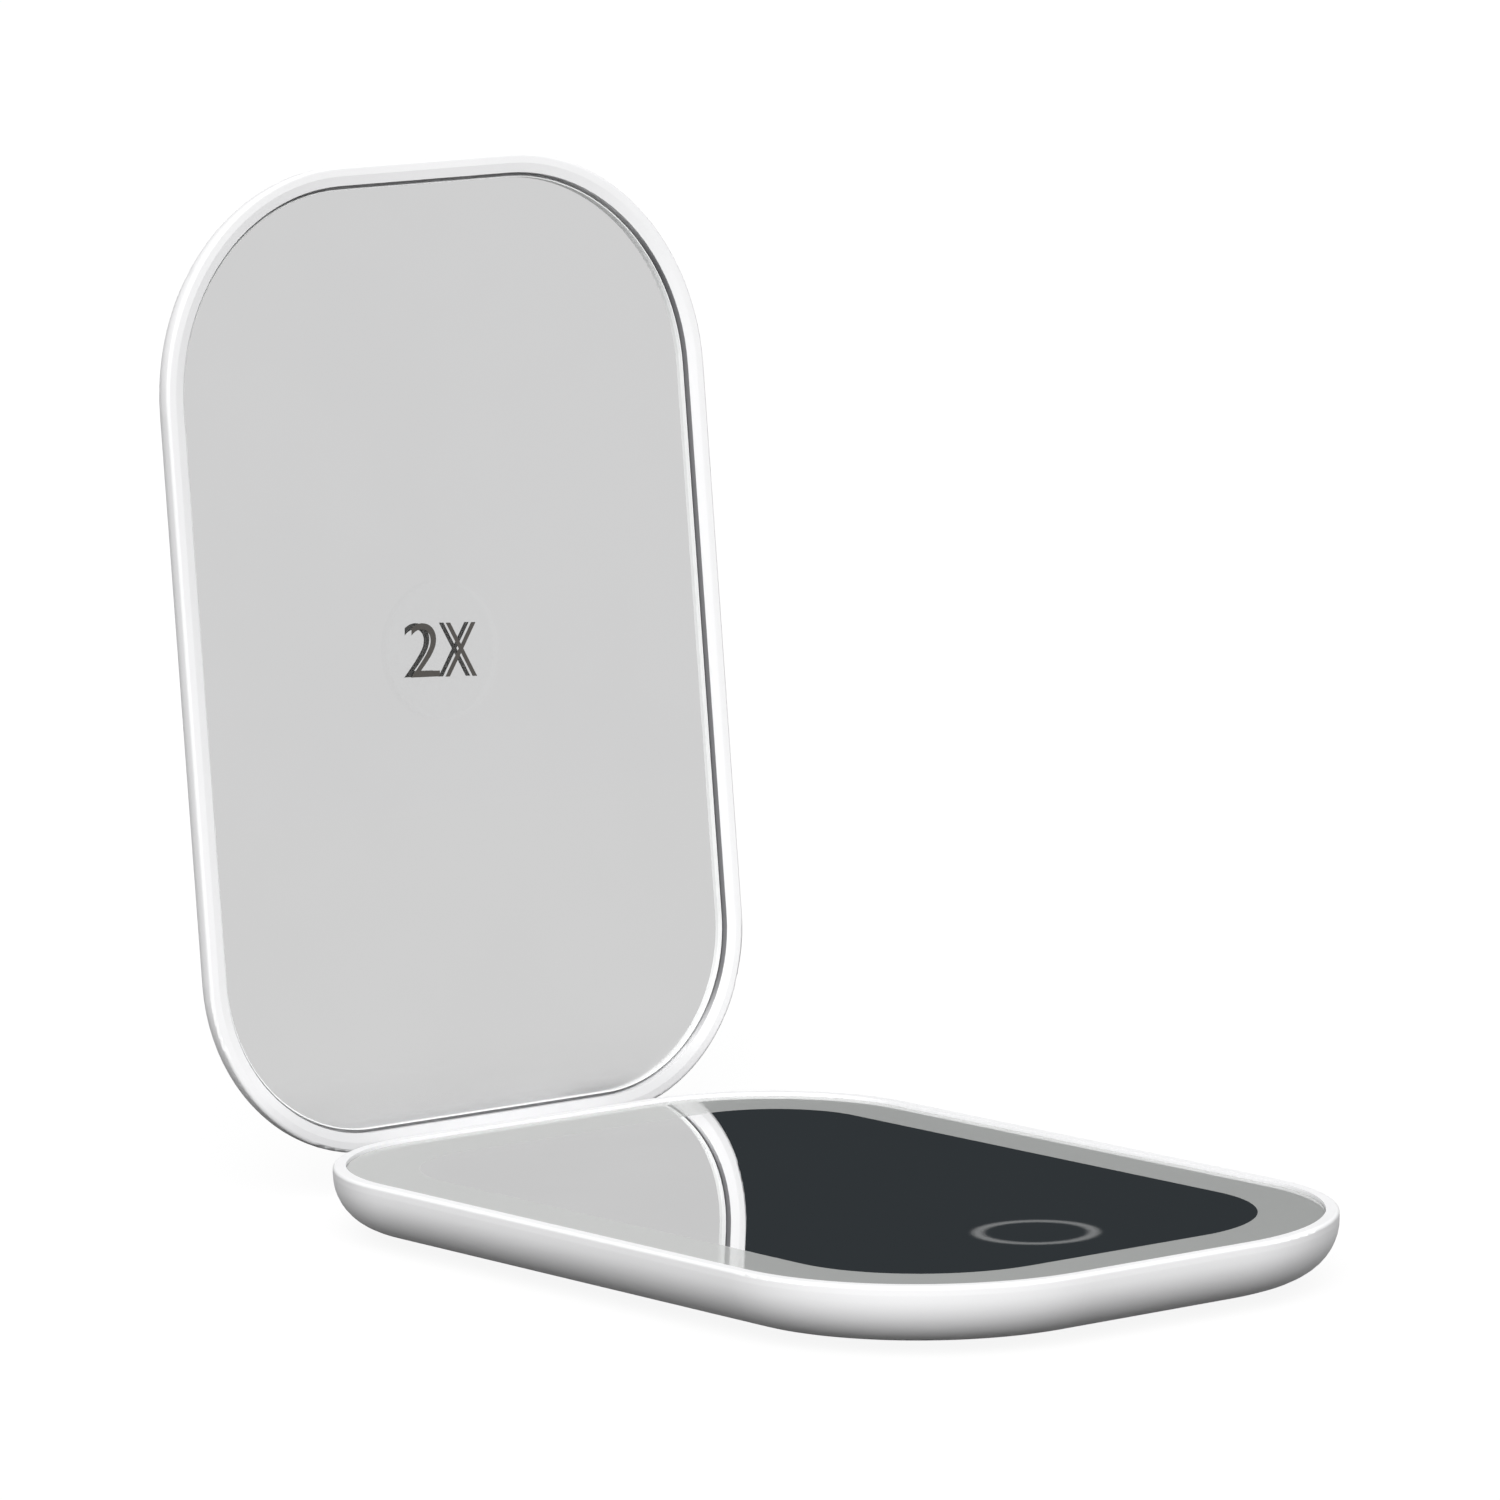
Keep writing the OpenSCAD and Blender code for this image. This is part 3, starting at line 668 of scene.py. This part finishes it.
class COMPACT_OT_electronics(bpy.types.Operator):
    """Finishes the board, its parts, the touch switch and the battery"""

    bl_idname = "compact.electronics"
    bl_label = "Electronics"

    def execute(self, context):
        wear("main_board", film("board_resist", (0.03, 0.2, 0.09), 0.35,
                                cloud_scale=500.0, variation=0.35))
        wear("board_chips", film("chip_epoxy", (0.03, 0.03, 0.03), 0.5, variation=0.3))
        wear("strip_connector", film("connector_nylon", (0.75, 0.72, 0.62), 0.45))
        wear("touch_pad", metal("pad_copper", (0.75, 0.4, 0.25), 0.35))
        wear("battery", metal("battery_foil", (0.7, 0.71, 0.73), 0.35, scale=300.0))
        wear("battery_pad", film("foam_tape", (0.85, 0.85, 0.85), 0.8))
        wear("battery_leads", film("lead_sleeving", (0.5, 0.03, 0.02), 0.4))
        return {"FINISHED"}


class COMPACT_OT_metalwork(bpy.types.Operator):
    """Finishes the hinge, the screws, the magnets, the spring and the charging socket"""

    bl_idname = "compact.metalwork"
    bl_label = "Metalwork"

    def execute(self, context):
        plated = metal("screw_plating", (0.62, 0.63, 0.65), 0.3)
        for node in ("frame_screws", "board_screws", "lid_screws"):
            wear(node, plated)
        nickel = metal("magnet_nickel", (0.7, 0.69, 0.66), 0.18)
        wear("base_magnets", nickel)
        wear("lid_magnets", nickel)
        wear("hinge_pin", metal("pin_steel", (0.6, 0.61, 0.63), 0.25, stretch=(0.05, 1.0, 1.0)))
        wear("friction_sleeve", metal("sleeve_steel", (0.45, 0.46, 0.48), 0.4))
        wear("touch_spring", metal("spring_steel", (0.6, 0.6, 0.58), 0.3))
        wear("charge_socket", metal("socket_plating", (0.66, 0.67, 0.68), 0.28))
        return {"FINISHED"}


class COMPACT_OT_studio(bpy.types.Operator):
    """Sets up the floor, the light and the camera"""

    bl_idname = "compact.studio"
    bl_label = "Studio"

    pale_room = (0.71, 0.71, 0.712, 1.0)
    dark_room = (0.032, 0.0375, 0.0415, 1.0)
    dark_ahead = (0.45, 0.75)
    dark_up_to = (0.35, 0.8)
    floor_bounce = ((0.03, 0.03, 0.03, 1.0), (0.032, 0.032, 0.032, 1.0))
    floor_seen = (0.13, 0.13, 0.13, 1.0)
    floor_glow_seen = 0.9
    floor_glow_mirrored = 0.68
    floor_reach = 8.0
    suns = (("main_light", 1.0, (0.58, 0.66, -0.57), (1.0, 1.0, 0.995)),
            ("side_light", 0.05, (-0.9, 0.3, -0.6), (0.97, 0.985, 1.0)))
    sun_spread = math.radians(50)
    softbox_size = (0.5, 0.25)
    softbox_place = (1.1, -0.45, 0.45)
    aim_in = 10 * MM
    aim_up = 20 * MM
    sight = 50.0

    def execute(self, context):
        studio = context.scene.compact_studio
        context.scene.view_settings.view_transform = "Standard"
        self.make_world(context, studio)
        self.make_floor()
        self.make_lights(studio)
        self.make_camera(context, studio)
        return {"FINISHED"}

    def make_world(self, context, studio):
        """White to the camera, pale to mirrors, with a dark stretch of room beyond the object."""
        world = bpy.data.worlds.new("studio_room")
        context.scene.world = world
        room = Finish(world)
        seen = room.add("ShaderNodeLightPath", output="Is Camera Ray")
        glossy = room.add("ShaderNodeLightPath", output="Is Glossy Ray")
        through = room.add("ShaderNodeLightPath", output="Is Transmission Ray")
        x, y, z = room.split(room.add("ShaderNodeTexCoord", output="Generated"))
        ahead = -math.sin(studio.azimuth) * x + math.cos(studio.azimuth) * y
        dark = ahead.rise(*self.dark_ahead) * (1.0 - z.rise(*self.dark_up_to))
        pale = room.mix(dark, self.pale_room, self.dark_room)
        fill = rgba([studio.daylight] * 3)
        lit = room.mix(glossy.at_least(through), fill, pale)
        colour = room.mix(seen, lit, WHITE)
        background = room.add("ShaderNodeBackground", values={"Color": colour, "Strength": 1.0})
        room.add("ShaderNodeOutputWorld", values={"Surface": background})

    def make_floor(self):
        """Floor that reads white to the camera, keeps the object's shadow and bounces little light."""
        shape = bmesh.new()
        bmesh.ops.create_grid(shape, x_segments=1, y_segments=1, size=self.floor_reach)
        mesh = bpy.data.meshes.new("floor")
        shape.to_mesh(mesh)
        shape.free()
        finish = new_finish("pale_floor")
        seen = finish.add("ShaderNodeLightPath", output="Is Camera Ray")
        glossy = finish.add("ShaderNodeLightPath", output="Is Glossy Ray")
        through = finish.add("ShaderNodeLightPath", output="Is Transmission Ray")
        mottle = finish.noise(finish.place(), 3.0)
        bounced = finish.mix(mottle, *self.floor_bounce)
        paper = finish.add("ShaderNodeBsdfDiffuse", values={
            "Color": finish.mix(seen, bounced, self.floor_seen)})
        glow = finish.add("ShaderNodeEmission", values={
            "Color": WHITE,
            "Strength": (seen * self.floor_glow_seen
                         + glossy.at_least(through) * self.floor_glow_mirrored)})
        both = finish.add("ShaderNodeAddShader", values={0: paper, 1: glow})
        finish.add("ShaderNodeOutputMaterial", values={"Surface": both})
        mesh.materials.append(finish.owner)
        floor = bpy.data.objects.new("floor", mesh)
        bpy.context.scene.collection.objects.link(floor)

    def make_lights(self, studio):
        """A very soft main light from the front left, a weak one from the right, and a softbox."""
        for name, share, aim, colour in self.suns:
            lamp = bpy.data.lights.new(name, "SUN")
            lamp.energy = studio.sun_strength * share
            lamp.angle = self.sun_spread
            lamp.color = colour
            carrier = bpy.data.objects.new(name, lamp)
            carrier.rotation_euler = Vector(aim).to_track_quat("-Z", "Y").to_euler()
            carrier.visible_glossy = False
            bpy.context.scene.collection.objects.link(carrier)
        softbox = bpy.data.lights.new("softbox", "AREA")
        softbox.shape = "RECTANGLE"
        softbox.size, softbox.size_y = self.softbox_size
        softbox.energy = studio.softbox_power
        carrier = bpy.data.objects.new("softbox", softbox)
        carrier.location = self.softbox_place
        aim = Vector((0.0, FRONT_Y / 2, 0.0)) - carrier.location
        carrier.rotation_euler = aim.to_track_quat("-Z", "Y").to_euler()
        bpy.context.scene.collection.objects.link(carrier)

    def make_camera(self, context, studio):
        """Camera at the photograph's view, set out from a point just above the base's hinge end."""
        aim = Vector((0.0, REAR_Y - self.aim_in, GLASS_TOP + self.aim_up))
        back = Vector((math.sin(studio.azimuth) * math.cos(studio.elevation),
                       -math.cos(studio.azimuth) * math.cos(studio.elevation),
                       math.sin(studio.elevation)))
        level = Vector((math.cos(studio.azimuth), math.sin(studio.azimuth), 0.0))
        upright = back.cross(level)
        right = math.cos(studio.roll) * level - math.sin(studio.roll) * upright
        up = math.sin(studio.roll) * level + math.cos(studio.roll) * upright
        place = aim + studio.shift_right * right + studio.shift_up * up + studio.distance * back
        camera = bpy.data.cameras.new("camera")
        camera.lens = studio.lens
        camera.sensor_width = 36.0
        camera.clip_end = self.sight
        carrier = bpy.data.objects.new("camera", camera)
        axes = Matrix((right, up, back)).transposed().to_4x4()
        carrier.matrix_world = Matrix.Translation(place) @ axes
        bpy.context.scene.collection.objects.link(carrier)
        context.scene.camera = carrier


STEPS = (COMPACT_OT_shells, COMPACT_OT_base_glass, COMPACT_OT_lid_glass, COMPACT_OT_power_mark,
         COMPACT_OT_light_parts, COMPACT_OT_electronics, COMPACT_OT_metalwork, COMPACT_OT_studio)
GROUPS = {"compact_shell": CompactShellSettings, "compact_glass": CompactGlassSettings,
          "compact_mark": CompactMarkSettings, "compact_studio": CompactStudioSettings}


class COMPACT_PT_panel(bpy.types.Panel):
    """Lists the settings and the steps"""

    bl_idname = "COMPACT_PT_panel"
    bl_label = "Compact mirror"
    bl_space_type = "VIEW_3D"
    bl_region_type = "UI"
    bl_category = "Compact"

    def draw(self, context):
        for name, group in GROUPS.items():
            box = self.layout.box()
            for key in group.__annotations__:
                box.prop(getattr(context.scene, name), key)
        for step in STEPS:
            self.layout.operator(step.bl_idname)


def register():
    for group in GROUPS.values():
        bpy.utils.register_class(group)
    for step in STEPS:
        bpy.utils.register_class(step)
    bpy.utils.register_class(COMPACT_PT_panel)
    for name, group in GROUPS.items():
        setattr(bpy.types.Scene, name, bpy.props.PointerProperty(type=group))


def unregister():
    for name in GROUPS:
        delattr(bpy.types.Scene, name)
    bpy.utils.unregister_class(COMPACT_PT_panel)
    for step in reversed(STEPS):
        bpy.utils.unregister_class(step)
    for group in reversed(list(GROUPS.values())):
        bpy.utils.unregister_class(group)


def main():
    register()
    for step in STEPS:
        group, name = step.bl_idname.split(".")
        getattr(getattr(bpy.ops, group), name)()


if __name__ == "__main__":
    main()
